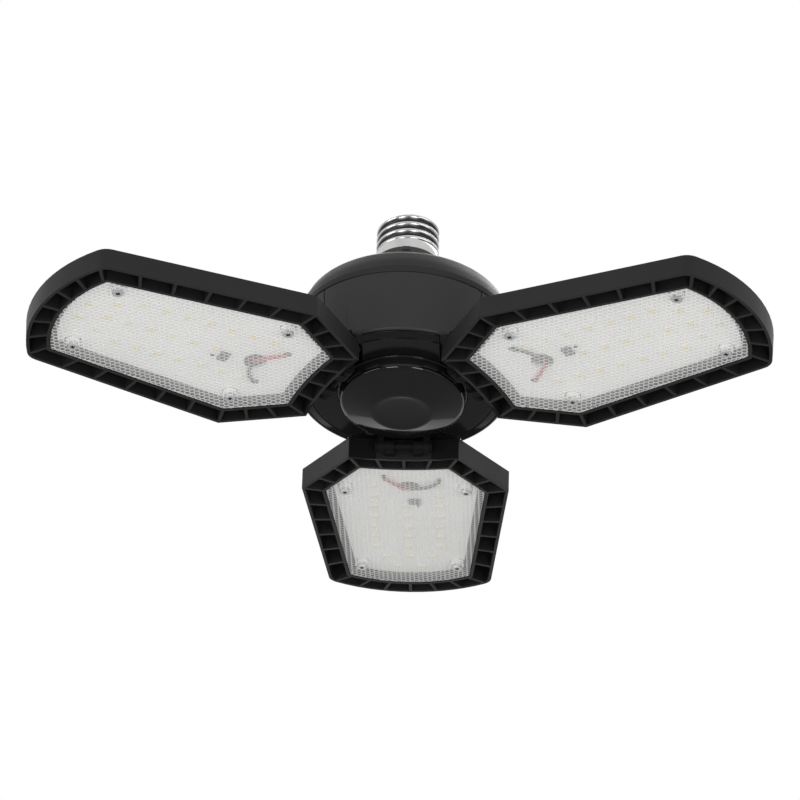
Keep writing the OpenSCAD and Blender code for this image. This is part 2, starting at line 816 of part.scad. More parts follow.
module led_chips(i) {
    chip = [2.8, 3.5, 0.7];
    color([0.93, 0.86, 0.5])
        on_leaf(i)
            for (spot = chip_spots)
                translate([spot[0] - chip[0] / 2, spot[1] - chip[1] / 2, board_z - chip[2]])
                    cube(chip);
}

module board_parts(i) {
    color([0.12, 0.12, 0.13])
        on_leaf(i) {
            translate(concat(hole_spot + [10.5, -3], board_z - 1))
                cube([4, 5, 1]);
            translate(concat(hole_spot + [16, -2.4], board_z - 0.6))
                cube([1.6, 0.9, 0.6]);
            for (spot = [red_pad, black_pad])
                translate([spot[0] - 1.5, spot[1] - 1, board_z - pad_h])
                    cube([3, 2, pad_h]);
        }
}

// Red and black wires from the grommet to their pads on the board
module panel_wires(i) {
    z = board_z - wire_d / 2 - pad_h;
    core = wire_d / 2 + 0.05;
    h = hole_spot;
    color([0.1, 0.1, 0.1])
        on_leaf(i)
            wire([[h[0], h[1] - core, back_top], [h[0], h[1] - core, z], [h[0] - 3, h[1] - 5, z],
                [black_pad[0] + 1, black_pad[1], z]], wire_d / 2);
    color([0.7, 0.1, 0.08])
        on_leaf(i)
            wire([[h[0], h[1] + core, back_top], [h[0], h[1] + core, z], [h[0] - 4, h[1] + 6, z],
                [red_pad[0] + 1, red_pad[1], z]], wire_d / 2);
}

module panel_grommet(i) {
    flange = 1;
    neck_r = wire_hole_d / 2;
    color([0.05, 0.05, 0.05])
        on_leaf(i)
            translate(hole_spot)
                difference() {
                    union() {
                        rod(back_bottom, back_top + flange, neck_r);
                        rod(board_z + 0.2, back_bottom, neck_r - 0.1);
                    }
                    rod(board_z - 1, back_top + flange + 1, wire_d + 0.1);
                }
}

module lens_gasket(i) {
    color([0.8, 0.8, 0.78])
        on_leaf(i)
            frame_ring(border + 0.2, ledge_end - 0.2, lens_t, ledge_bottom);
}

module lens(i) {
    sink = 0.9;
    color([0.9, 0.92, 0.93, 0.5])
        on_leaf(i)
            difference() {
                slab(border + lens_gap, 0, lens_t);
                for (spot = screw_spots)
                    translate(spot) {
                        rod(-1, lens_t + 1, screw_d / 2 + 0.2);
                        rod(-1, sink, screw_head_d / 2 + 0.2);
                    }
            }
}

module lens_screws(i) {
    sink = 0.9;
    color(plated)
        on_leaf(i)
            for (spot = screw_spots)
                translate(spot)
                    difference() {
                        union() {
                            rod(0, sink, screw_head_d / 2);
                            rod(sink - 0.1, back_top - 0.8, screw_d / 2);
                        }
                        translate([0, 0, -1])
                            cylinder(h = 1.5, r = 0.9, $fn = 6);
                    }
}

screw_shell();
base_insulator();
centre_contact();
base_collar();
top_cap();
hub_body();
hinge_carrier();
centre_dish();
driver_board();
driver_capacitor();
driver_transformer();
driver_parts();
base_leads();
hub_leads();
hub_grommets();
hub_screws();
bracket_screws();
for (i = [0 : 2]) {
    leaf = ["a", "b", "c"][i];
    hinge_bracket(i);
    hinge_pin(i);
    friction_washers(i);
    panel_frame(i);
    led_board(i);
    thermal_pad(i);
    led_chips(i);
    board_parts(i);
    panel_wires(i);
    panel_grommet(i);
    lens_gasket(i);
    lens(i);
    lens_screws(i);
}
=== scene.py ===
import math

import bmesh
import bpy
from mathutils import Matrix, Vector
from mathutils.kdtree import KDTree


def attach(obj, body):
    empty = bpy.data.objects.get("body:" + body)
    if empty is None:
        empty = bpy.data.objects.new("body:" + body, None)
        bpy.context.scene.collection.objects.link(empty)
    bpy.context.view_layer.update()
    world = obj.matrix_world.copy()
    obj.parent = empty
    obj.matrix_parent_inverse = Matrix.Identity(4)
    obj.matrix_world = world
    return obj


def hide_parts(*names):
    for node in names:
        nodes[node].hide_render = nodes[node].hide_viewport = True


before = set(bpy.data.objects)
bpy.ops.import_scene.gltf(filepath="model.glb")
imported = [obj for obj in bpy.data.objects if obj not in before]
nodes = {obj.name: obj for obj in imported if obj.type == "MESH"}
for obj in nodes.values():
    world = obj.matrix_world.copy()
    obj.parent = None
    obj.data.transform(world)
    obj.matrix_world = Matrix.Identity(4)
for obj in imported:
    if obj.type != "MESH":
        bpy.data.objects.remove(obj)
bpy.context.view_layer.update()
mm = 0.001
weld = 0.000002  # points nearer than this are joined
rimDrop = 0.0765  # from the middle of the base's skirt down to the rim of a level leaf

# each leaf's direction round the hub and its droop, in degrees
leafTurns = {"a": (210, 3.6), "b": (330, 3.6), "c": (90, -8.0)}
hinge = {"out": 0.0302, "height": 0.004}


def leafPlace(leaf):
    turn, droop = leafTurns[leaf]
    toHinge = Matrix.Translation((hinge["out"], 0, hinge["height"] - rimDrop))
    back = Matrix.Translation((-hinge["out"], 0, -hinge["height"]))
    droopTurn = Matrix.Rotation(math.radians(droop), 4, "Y")
    return Matrix.Rotation(math.radians(turn), 4, "Z") @ toHinge @ droopTurn @ back


def setCamera():
    # fitted to the picture: the point on the hub's axis at rim height is the target
    shot = {"lens": 214.36, "distance": 1.93017, "rise": 35.40, "swing": -2.384, "roll": 2.057,
            "shiftX": -0.00224, "shiftY": 0.01469}
    rise, swing, roll = (math.radians(shot[k]) for k in ("rise", "swing", "roll"))
    ahead = Vector((math.sin(swing) * math.cos(rise), math.cos(swing) * math.cos(rise), math.sin(rise)))
    side = Vector((math.cos(swing), -math.sin(swing), 0))
    up = side.cross(ahead)
    right = side * math.cos(roll) + up * math.sin(roll)
    top = up * math.cos(roll) - side * math.sin(roll)
    bpy.ops.object.camera_add()
    camera = bpy.context.object
    camera.name = "camera"
    grid = Matrix((right, top, -ahead)).transposed().to_4x4()
    grid.translation = Vector((0, 0, -rimDrop)) - ahead * shot["distance"]
    camera.matrix_world = grid
    camera.data.lens = shot["lens"]
    camera.data.sensor_width = 36
    camera.data.sensor_fit = "HORIZONTAL"
    camera.data.shift_x = shot["shiftX"]
    camera.data.shift_y = shot["shiftY"]
    camera.data.clip_end = 20
    bpy.context.scene.camera = camera


setCamera()
bpy.context.scene.view_settings.view_transform = "Standard"
print("camera is set")


class Flow:
    # one output of a shader node, so that sums with it read as sums

    def __init__(self, tree, out):
        self.tree = tree
        self.out = out

    def math(self, op, a, b):
        n = self.tree.nodes.new("ShaderNodeMath")
        n.operation = op
        for inlet, value in zip(n.inputs, (a, b)):
            if isinstance(value, Flow):
                self.tree.links.new(value.out, inlet)
            else:
                inlet.default_value = value
        return Flow(self.tree, n.outputs[0])

    def __add__(self, other):
        return self.math("ADD", self, other)

    def __radd__(self, other):
        return self.math("ADD", other, self)

    def __sub__(self, other):
        return self.math("SUBTRACT", self, other)

    def __rsub__(self, other):
        return self.math("SUBTRACT", other, self)

    def __mul__(self, other):
        return self.math("MULTIPLY", self, other)

    def __rmul__(self, other):
        return self.math("MULTIPLY", other, self)

    def above(self, level):
        return self.math("GREATER_THAN", self, level)

    def atMost(self, level):
        return self.math("MINIMUM", self, level)


class Finish:
    # one material round a Principled shader

    def __init__(self, name, **fixed):
        self.mat = bpy.data.materials.new(name)
        self.mat.use_nodes = True
        self.tree = self.mat.node_tree
        self.main = self.tree.nodes["Principled BSDF"]
        for socket, value in fixed.items():
            self.main.inputs[socket.replace("_", " ")].default_value = value

    def node(self, kind, sockets, out=0, **settings):
        n = self.tree.nodes.new("ShaderNode" + kind)
        for key, value in settings.items():
            setattr(n, key, value)
        for key, value in sockets.items():
            if isinstance(value, Flow):
                self.tree.links.new(value.out, n.inputs[key])
            else:
                n.inputs[key].default_value = value
        return Flow(self.tree, n.outputs[out])

    def place(self):
        # a point in the piece's own space
        return self.node("TexCoord", {}, "Object")

    def attribute(self, name):
        return self.node("Attribute", {}, "Fac", attribute_name=name)

    def noise(self, scale, detail, rough=0.5):
        return self.node("TexNoise", {"Vector": self.place(), "Scale": scale, "Detail": detail,
                                      "Roughness": rough})

    def blend(self, share, a, b, mode="MIX"):
        # sockets 6 and 7 of the Mix node are its two colours
        return self.node("Mix", {0: share, 6: a, 7: b}, 2, data_type="RGBA", blend_type=mode)

    def spread(self, flow, low, high, start=0.3, end=0.7):
        # the noise seldom leaves the range from 0.3 to 0.7
        return self.node("MapRange", {"Value": flow, "From Min": start, "From Max": end,
                                      "To Min": low, "To Max": high})

    def bump(self, height, strength, depth):
        return self.node("Bump", {"Height": height, "Strength": strength, "Distance": depth})

    def feed(self, socket, flow):
        self.tree.links.new(flow.out, self.main.inputs[socket])


def colour(r, g, b):
    return (r, g, b, 1)


finishes = {}


# a moulded or painted finish: two tones, smudged gloss from one roughness to another, and a grain
# with its scale and depth; patch is the scale of the smudges
def grained(name, tone, other, rough, grain, depth, patch=30, **fixed):
    f = Finish(name, **fixed)
    f.feed("Base Color", f.blend(f.spread(f.noise(patch, 4), 0, 1), colour(*tone), colour(*other)))
    f.feed("Roughness", f.spread(f.noise(patch * 1.7, 5, 0.6), rough[0], rough[1]))
    f.feed("Normal", f.bump(f.noise(grain, 2), 0.35, depth))
    finishes[name] = f.mat


grained("hubSatin", (0.021, 0.021, 0.022), (0.025, 0.025, 0.026), (0.34, 0.42), 2600, 0.00003,
        Specular_IOR_Level=0.24)
grained("capSatin", (0.019, 0.019, 0.020), (0.023, 0.023, 0.024), (0.40, 0.50), 2600, 0.00003,
        Specular_IOR_Level=0.14)
grained("carrierGloss", (0.006, 0.006, 0.0065), (0.008, 0.008, 0.0085), (0.12, 0.18), 2600, 0.00002,
        Specular_IOR_Level=0.16)
grained("leafPaint", (0.010, 0.010, 0.0105), (0.013, 0.013, 0.0135), (0.42, 0.55), 1500, 0.00008, 22,
        Specular_IOR_Level=0.2)
grained("blackSteel", (0.005, 0.005, 0.0055), (0.007, 0.007, 0.0075), (0.5, 0.62), 1800, 0.00004, 60,
        Specular_IOR_Level=0.06)
grained("collarBlack", (0.012, 0.012, 0.013), (0.018, 0.018, 0.019), (0.35, 0.5), 2200, 0.00004)
grained("zincSteel", (0.68, 0.69, 0.7), (0.78, 0.79, 0.8), (0.4, 0.52), 1800, 0.00003, 60, Metallic=1.0)
grained("whiteMask", (0.88, 0.88, 0.86), (0.91, 0.91, 0.89), (0.30, 0.42), 1200, 0.00003)
grained("chipCase", (0.82, 0.82, 0.78), (0.88, 0.87, 0.84), (0.35, 0.45), 2000, 0.00002)
grained("phosphor", (0.88, 0.72, 0.40), (0.92, 0.78, 0.48), (0.45, 0.6), 3000, 0.00004, 400)
grained("pcbGreen", (0.02, 0.12, 0.05), (0.03, 0.15, 0.07), (0.25, 0.4), 900, 0.00005)
grained("canSleeve", (0.02, 0.03, 0.10), (0.03, 0.04, 0.13), (0.22, 0.34), 700, 0.00004)
grained("coreTape", (0.62, 0.45, 0.06), (0.70, 0.52, 0.09), (0.3, 0.45), 900, 0.0001, 120)
grained("darkEpoxy", (0.02, 0.02, 0.022), (0.03, 0.03, 0.032), (0.4, 0.55), 1600, 0.00005)
grained("wireRed", (0.42, 0.015, 0.012), (0.50, 0.025, 0.02), (0.32, 0.45), 1200, 0.00003, 90)
grained("wireBlack", (0.012, 0.012, 0.013), (0.02, 0.02, 0.021), (0.32, 0.45), 1200, 0.00003, 90)
grained("blackRubber", (0.012, 0.012, 0.012), (0.02, 0.02, 0.02), (0.6, 0.75), 1800, 0.00006)
grained("padGrey", (0.38, 0.41, 0.45), (0.44, 0.47, 0.50), (0.6, 0.8), 1500, 0.00006)
grained("tinnedBrass", (0.72, 0.66, 0.50), (0.80, 0.74, 0.58), (0.18, 0.32), 1500, 0.00003, 120,
        Metallic=1.0)
grained("glazedWhite", (0.42, 0.42, 0.42), (0.48, 0.48, 0.48), (0.10, 0.2), 500, 0.00005, 60,
        Coat_Weight=0.4)


# bright plating with fine lines left by the rolling, dull marks from handling, and painted shade and
# painted dark reflection in the thread's roots
def platingFinish():
    f = Finish("rolledPlating", Metallic=1.0)
    smear = f.noise(90, 5, 0.6)
    bright = f.blend(f.spread(smear, 0, 1), colour(0.48, 0.47, 0.46), colour(0.60, 0.60, 0.60))
    root = f.attribute("root")
    # the thread's roots are painted near black: a painted shade and painted dark reflection
    f.feed("Base Color", f.blend(root, bright, colour(0.035, 0.035, 0.036)))
    f.feed("Roughness", f.spread(f.noise(160, 5, 0.65), 0.10, 0.24) + root * 0.15)
    rings = f.node("TexWave", {"Vector": f.place(), "Scale": 900, "Distortion": 1.5, "Detail": 2,
                               "Detail Scale": 40}, bands_direction="Z")
    f.feed("Normal", f.bump(rings, 0.08, 0.00002))
    return f.mat


# deep black gloss with dust and wiping marks that only the reflections show
def glossFinish():
    f = Finish("pianoBlack", Specular_IOR_Level=0.28)
    cloth = f.noise(70, 6, 0.7)
    specks = f.noise(1800, 2).above(0.74)
    f.feed("Base Color", f.blend(specks * 0.05, colour(0.0045, 0.0045, 0.005), colour(0.2, 0.2, 0.2)))
    f.feed("Roughness", f.spread(cloth, 0.05, 0.12) + specks * 0.2)
    f.feed("Normal", f.bump(f.noise(260, 2), 0.05, 0.00004))
    return f.mat


# clear sheet with a pyramid in every cell: the seams are milky, the slopes let the board show
def prismFinish():
    f = Finish("prismSheet", IOR=1.49, Specular_IOR_Level=0.6)
    cloud = f.spread(f.noise(40, 3), 0.96, 1.0)
    milk = f.spread(f.attribute("peak"), 1, 0, 0.0, 0.36)
    tone = f.blend(milk, colour(0.93, 0.93, 0.92), colour(0.96, 0.96, 0.95))
    f.feed("Base Color", f.blend(1.0, tone, cloud, "MULTIPLY"))
    rim = f.attribute("rim")
    f.feed("Alpha", 0.27 - rim * 0.15 + milk * (0.43 + rim * 0.22))
    f.feed("Roughness", 0.14 + f.noise(300, 4) * 0.1)
    return f.mat


finishes["plating"] = platingFinish()
finishes["gloss"] = glossFinish()
finishes["prism"] = prismFinish()
print("finishes:", len(finishes))


def only(obj):
    # leaves one object selected and active, in object mode
    if bpy.context.object and bpy.context.object.mode != "OBJECT":
        bpy.ops.object.mode_set(mode="OBJECT")
    bpy.ops.object.select_all(action="DESELECT")
    obj.select_set(True)
    bpy.context.view_layer.objects.active = obj


def editing(obj, elements="FACE"):
    only(obj)
    bpy.ops.object.mode_set(mode="EDIT")
    bpy.ops.mesh.select_mode(type=elements)


def done(obj):
    bpy.ops.object.mode_set(mode="OBJECT")
    return obj


def pick(obj, test):
    # selects the faces whose middle and normal pass the test
    bm = bmesh.from_edit_mesh(obj.data)
    bpy.ops.mesh.select_all(action="DESELECT")
    for face in bm.faces:
        middle = sum((v.co for v in face.verts), Vector()) / len(face.verts)
        face.select_set(bool(test(middle, face.normal)))
    bm.select_flush_mode()
    bmesh.update_edit_mesh(obj.data)


def assign(index):
    # gives the selected faces another of the piece's materials
    bpy.context.object.active_material_index = index
    bpy.ops.object.material_slot_assign()


def modify(obj, kind, **settings):
    only(obj)
    m = obj.modifiers.new(kind.lower(), kind)
    for key, value in settings.items():
        setattr(m, key, value)
    bpy.ops.object.modifier_apply(modifier=m.name)


def soften(obj, width, steps=2, angle=40, smooth=35):
    # rounds the edges sharper than the angle and shades the curved faces smoothly
    modify(obj, "BEVEL", width=width, segments=steps, limit_method="ANGLE", angle_limit=math.radians(angle),
           use_clamp_overlap=True, miter_outer="MITER_ARC")
    bpy.ops.object.shade_smooth_by_angle(angle=math.radians(smooth))
    modify(obj, "WEIGHTED_NORMAL", keep_sharp=True)


def newPrimitive(name, adder, **settings):
    bpy.ops.object.select_all(action="DESELECT")
    adder(**settings)
    obj = bpy.context.object
    obj.name = name
    bpy.ops.object.transform_apply(location=True, rotation=True, scale=True)
    return obj


def joined(pieces):
    only(pieces[0])
    for piece in pieces:
        piece.select_set(True)
    bpy.ops.object.join()
    return pieces[0]


def scattered(one, name, places):
    # copies a piece to each place and makes one mesh of the copies
    copies = []
    for place in places:
        each = bpy.data.objects.new(name, one.data.copy())
        bpy.context.scene.collection.objects.link(each)
        each.data.transform(place)
        copies.append(each)
    bpy.data.objects.remove(one)
    return joined(copies)


def cutOut(obj, cutter):
    modify(obj, "BOOLEAN", operation="DIFFERENCE", object=cutter, solver="EXACT")
    bpy.data.objects.remove(cutter)


def drawLine(name, profile):
    # walks a point along the profile, given as radius and height in millimetres
    obj = newPrimitive(name, bpy.ops.mesh.primitive_plane_add, size=mm)
    editing(obj, "VERT")
    bpy.ops.mesh.select_all(action="SELECT")
    bpy.ops.mesh.merge(type="CENTER")
    here = Vector((profile[0][0] * mm, 0, profile[0][1] * mm))
    bpy.ops.transform.translate(value=here)
    for r, z in profile[1:]:
        there = Vector((r * mm, 0, z * mm))
        bpy.ops.mesh.extrude_region_move(TRANSFORM_OT_translate={"value": there - here})
        here = there
    return obj


def lathe(name, profile, steps=96):
    # spins the profile round the hub's axis
    obj = drawLine(name, profile)
    bpy.ops.mesh.select_all(action="SELECT")
    bpy.ops.mesh.spin(steps=steps, angle=2 * math.pi, center=(0, 0, 0), axis=(0, 0, 1))
    bpy.ops.mesh.select_all(action="SELECT")
    bpy.ops.mesh.remove_doubles(threshold=weld)
    bpy.ops.mesh.normals_make_consistent(inside=False)
    return done(obj)


def arc(cx, cz, r, start, end, count):
    # points of an arc in the profile's plane, degrees counted from straight out
    return [(cx + r * math.cos(math.radians(start + (end - start) * k / count)),
             cz + r * math.sin(math.radians(start + (end - start) * k / count))) for k in range(count + 1)]


def wear(obj, *names):
    obj.data.materials.clear()
    for name in names:
        obj.data.materials.append(finishes[name])


def settle(obj, body, replaced):
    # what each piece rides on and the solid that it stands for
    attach(obj, body)
    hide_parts(replaced)


def mergedCopy(node, name, local=None, whole=True):
    # a copy of a solid's mesh, joined up, and its triangles made whole faces again where that is wanted
    obj = bpy.data.objects.new(name, nodes[node].data.copy())
    bpy.context.scene.collection.objects.link(obj)
    obj.data.materials.clear()
    if local:
        obj.data.transform(local)
    only(obj)
    if obj.data.has_custom_normals:
        bpy.ops.mesh.customdata_custom_splitnormals_clear()
    editing(obj, "VERT")
    bpy.ops.mesh.select_all(action="SELECT")
    bpy.ops.mesh.remove_doubles(threshold=weld)
    if whole:
        bpy.ops.mesh.dissolve_limited(angle_limit=math.radians(0.5), use_dissolve_boundaries=False)
    return done(obj)


def leafCopy(node, name, whole=False):
    # the solid of leaf a, brought into the leaf's own frame
    return mergedCopy(node + "_a", name, leafPlace("a").inverted(), whole)


def tripled(first, node):
    # a piece modelled in the leaf's own frame goes to the three leaves
    pieces = {"a": first}
    for leaf in "bc":
        pieces[leaf] = bpy.data.objects.new(node, first.data.copy())
        bpy.context.scene.collection.objects.link(pieces[leaf])
    for leaf, piece in pieces.items():
        piece.name = f"{node}Fine_{leaf}"
        piece.data.transform(leafPlace(leaf))
        settle(piece, "leaf_" + leaf, f"{node}_{leaf}")


def plainLeaf(node, finish, edge, steps=2, reshape=None):
    # a piece of the leaves that keeps its solid's form
    obj = leafCopy(node, node)
    if reshape:
        reshape(obj)
    wear(obj, finish)
    soften(obj, edge, steps)
    tripled(obj, node)


def plainHub(node, name, finish, edge, steps=2, reshape=None):
    # a piece of the hub that keeps its solid's form
    obj = mergedCopy(node, name)
    if reshape:
        reshape(obj)
    wear(obj, finish)
    soften(obj, edge, steps)
    settle(obj, "hub", node)


screwSpots = [(65.5, 25.3), (65.5, -25.3), (138, 20.5), (138, -20.5)]  # on a leaf, in millimetres


def leafFrame():
    look = {"edge": 0.00035, "steps": 3, "earsTo": 0.0339, "earsWide": 0.0235,
            "bossFrom": 0.0014, "bossTo": 0.0052, "bossWide": 0.0031}
    obj = leafCopy("panel_frame", "leafFrame")
    wear(obj, "leafPaint", "blackSteel", "whiteMask")
    editing(obj)
    pick(obj, lambda middle, normal: middle.x < look["earsTo"] and abs(middle.y) < look["earsWide"])
    assign(1)  # the hinge ears and the short wall they stand on
    pick(obj, lambda middle, normal: look["bossFrom"] < middle.z < look["bossTo"] and any(
        math.hypot(middle.x - u * mm, middle.y - w * mm) < look["bossWide"] for u, w in screwSpots))
    assign(2)  # screw bosses, pale through the lens
    done(obj)
    soften(obj, look["edge"], look["steps"])
    return obj


tripled(leafFrame(), "panel_frame")
print("leaf frames done")


# the cells stand in rows; "faint" is the least height where neighbours in a row meet
sheet = {"cell": 0.0022, "depth": 0.00042, "point": 0.96, "thick": 0.0016, "from": 0.043, "rows": 40,
         "perRow": 52, "faint": 0.06, "rimWide": 0.009, "rimStep": 0.0005}


def repeated(obj, count, x, y):
    modify(obj, "ARRAY", count=count, use_relative_offset=False, use_constant_offset=True,
           constant_offset_displace=(x, y, 0))


def cellSheet():
    across = sheet["cell"]
    rowStep = across * math.sqrt(3) / 2
    obj = newPrimitive("prismLens", bpy.ops.mesh.primitive_circle_add, vertices=6, fill_type="NGON",
                       radius=across / math.sqrt(3),
                       location=(sheet["from"], -rowStep * (sheet["rows"] - 1) / 2, sheet["depth"]))
    editing(obj)
    bpy.ops.mesh.select_all(action="SELECT")
    bpy.ops.mesh.poke(offset=-sheet["depth"] * sheet["point"])
    done(obj)
    repeated(obj, 2, across / 2, rowStep)
    repeated(obj, sheet["perRow"], across, 0)
    repeated(obj, sheet["rows"] // 2, 0, 2 * rowStep)
    editing(obj, "VERT")
    bpy.ops.mesh.select_all(action="SELECT")
    bpy.ops.mesh.remove_doubles(threshold=10 * weld)
    bpy.ops.mesh.select_mode(type="EDGE")
    bpy.ops.mesh.select_all(action="DESELECT")
    bpy.ops.mesh.select_non_manifold(extend=False, use_wire=False, use_boundary=True,
                                     use_multi_face=False, use_non_contiguous=False, use_verts=False)
    bpy.ops.mesh.extrude_edges_move(TRANSFORM_OT_translate={"value": (0, 0, sheet["thick"] + mm)})
    bpy.ops.mesh.edge_face_add()
    bpy.ops.mesh.select_all(action="SELECT")
    bpy.ops.mesh.normals_make_consistent(inside=False)
    return done(obj)


def markPeaks(mesh):
    # 0 on the seams between cells and 1 on their points; the flat inner face is as clear as the points
    peak = mesh.attributes.new("peak", "FLOAT", "CORNER")
    for poly in mesh.polygons:
        inRow = poly.normal.z < -0.5 and abs(poly.normal.x) > abs(poly.normal.y) * 1.2
        least = sheet["faint"] if inRow else 0.0
        for corner in poly.loop_indices:
            z = mesh.vertices[mesh.loops[corner].vertex_index].co.z
            inner = z > sheet["depth"] * 2
            peak.data[corner].value = 1.0 if inner else max(least, 1 - z / sheet["depth"])


def markRim(mesh):
    # how near a point lies to the sheet's outline, where the cells are clearer
    verts = mesh.vertices
    walls = {key for poly in mesh.polygons if abs(poly.normal.z) < 0.3 for key in poly.edge_keys
             if all(verts[k].co.z > sheet["thick"] * 0.95 for k in key)}
    marks = []
    for a, b in sorted(walls):
        steps = max(1, math.ceil((verts[a].co - verts[b].co).length / sheet["rimStep"]))
        marks += [verts[a].co.lerp(verts[b].co, k / steps) for k in range(steps + 1)]
    tree = KDTree(len(marks))
    for k, mark in enumerate(marks):
        tree.insert((mark.x, mark.y, 0), k)
    tree.balance()
    rim = mesh.attributes.new("rim", "FLOAT", "POINT")
    for v, value in zip(verts, rim.data):
        away = tree.find((v.co.x, v.co.y, 0))[2]
        value.value = max(0.0, 1 - away / sheet["rimWide"])


def prismLens():
    # the sheet of cells, cut to the outline of the solid lens
    obj = cellSheet()
    slab = leafCopy("lens", "slab")
    modify(obj, "BOOLEAN", operation="INTERSECT", object=slab, solver="EXACT")
    bpy.data.objects.remove(slab)
    only(obj)
    bpy.ops.object.shade_flat()
    markPeaks(obj.data)
    markRim(obj.data)
    wear(obj, "prism")
    return obj


tripled(prismLens(), "lens")
print("prism lenses done")


wireOpening = {"out": 0.0664, "side": -0.0013, "r": 0.0047, "low": 0.0026, "high": 0.0058}


def openForWires(obj):
    # widens the round opening in the board and its pad, through which the leads come
    depth = wireOpening["high"] - wireOpening["low"]
    middle = (wireOpening["out"], wireOpening["side"], wireOpening["low"] + depth / 2)
    cutOut(obj, newPrimitive("cutter", bpy.ops.mesh.primitive_cylinder_add, vertices=56,
                             radius=wireOpening["r"], depth=depth, location=middle))


def chipField():
    # one package with its phosphor pocket, set down at each of the chips of the solid
    chip = {"long": 0.0028, "wide": 0.0035, "high": 0.0007, "case": 0.00035, "pocket": 0.00012,
            "edge": 0.00008}
    source = leafCopy("led_chips", "spots", True)
    spots = [Matrix.Translation(poly.center) for poly in source.data.polygons if poly.normal.z < -0.9]
    bpy.data.objects.remove(source)
    one = newPrimitive("chip", bpy.ops.mesh.primitive_cube_add, size=1, location=(0, 0, chip["high"] / 2),
                       scale=(chip["long"], chip["wide"], chip["high"]))
    wear(one, "chipCase", "phosphor")
    editing(one)
    pick(one, lambda middle, normal: normal.z < -0.9)
    bpy.ops.mesh.inset(thickness=chip["case"])
    bpy.ops.mesh.extrude_region_move(TRANSFORM_OT_translate={"value": (0, 0, chip["pocket"])})
    assign(1)
    done(one)
    soften(one, chip["edge"], 1)
    return scattered(one, "chip", spots)


def panelWires():
    # red and black leads from the grommet to their pads, drawn as soft curves over the board's face
    lead = {"r": 0.65, "board": 3.6, "gap": 0.3, "bend": 4.2, "back": 7.2}
    low, bend, back = lead["board"] - lead["r"] - lead["gap"], lead["bend"], lead["back"]
    runs = {
        "wireBlack": [(67, -3.7, back), (67, -3.7, bend), (66.6, -4.6, low), (66.4, -6.6, low),
                      (65, -9.6, low), (62.6, -12.6, low), (60.3, -14, low)],
        "wireRed": [(67, -2.3, back), (67.4, -2.0, bend), (66.8, 0.6, low), (63.6, 3.7, low),
                    (60, 6.6, low), (57.6, 8.8, low)],
    }
    tubes = []
    for name, run in runs.items():
        bpy.ops.object.select_all(action="DESELECT")
        bpy.ops.curve.primitive_nurbs_path_add()
        tube = bpy.context.object
        spline = tube.data.splines[0]
        spline.points.add(len(run) - len(spline.points))
        for point, (u, w, z) in zip(spline.points, run):
            point.co = (u * mm, w * mm, z * mm, 1)
        spline.use_endpoint_u = True
        spline.order_u = 3
        tube.data.bevel_depth = lead["r"] * mm
        tube.data.bevel_resolution = 4
        tube.data.resolution_u = 8
        tube.data.use_fill_caps = True
        only(tube)
        bpy.ops.object.convert(target="MESH")
        tube = bpy.context.object
        wear(tube, name)
        bpy.ops.object.shade_smooth()
        tubes.append(tube)
    return joined(tubes)


def lensScrews():
    # pan heads with a cross recess, in the four recesses of a lens
    screw = {"head": 2.2, "rise": 0.9, "shank": 1.25, "end": 6.6, "step": 0.45, "slotLong": 0.95,
             "slotWide": 0.34, "slotDeep": 0.6, "recessShadeWide": 1.5, "turn": 20, "lead": 0.7, "edge": 0.12}
    one = newPrimitive("screw", bpy.ops.mesh.primitive_cylinder_add, vertices=40, radius=screw["head"] * mm,
                       depth=screw["rise"] * mm, location=(0, 0, screw["rise"] / 2 * mm))
    editing(one)
    pick(one, lambda middle, normal: normal.z > 0.9)
    bpy.ops.mesh.inset(thickness=(screw["head"] - screw["shank"]) * mm)
    shankLong = (screw["end"] - screw["rise"]) * mm
    bpy.ops.mesh.extrude_region_move(TRANSFORM_OT_translate={"value": (0, 0, shankLong)})
    pick(one, lambda middle, normal: normal.z < -0.9)
    bpy.ops.mesh.inset(thickness=screw["step"] * mm)
    done(one)
    slot = tuple(2 * screw[k] * mm for k in ("slotLong", "slotWide", "slotDeep"))
    for turn in (screw["turn"], screw["turn"] + 90):
        cutOut(one, newPrimitive("cutter", bpy.ops.mesh.primitive_cube_add, size=1, scale=slot,
                                 rotation=(0, 0, math.radians(turn))))
    wear(one, "zincSteel", "darkEpoxy")
    editing(one)
    pick(one, lambda middle, normal: 0.02 * mm < middle.z < (screw["slotDeep"] + 0.05) * mm
         and math.hypot(middle.x, middle.y) < screw["recessShadeWide"] * mm)
    assign(1)  # painted shade in the cross recess
    done(one)
    soften(one, screw["edge"] * mm)
    return scattered(one, "lensScrews", [
        Matrix.Translation((u * mm, w * mm, 0)) @ Matrix.Rotation(screw["lead"] * k, 4, "Z")
        for k, (u, w) in enumerate(screwSpots)])  # each is tightened to another angle


plainLeaf("led_board", "whiteMask", 0.0001, steps=1, reshape=openForWires)
tripled(chipField(), "led_chips")
tripled(panelWires(), "panel_wires")
tripled(lensScrews(), "lens_screws")
plainLeaf("board_parts", "darkEpoxy", 0.00008)
plainLeaf("thermal_pad", "padGrey", 0.00003, reshape=openForWires)
plainLeaf("panel_grommet", "blackRubber", 0.0002)
plainLeaf("lens_gasket", "blackRubber", 0.00008)
print("inner pieces of the leaves done")


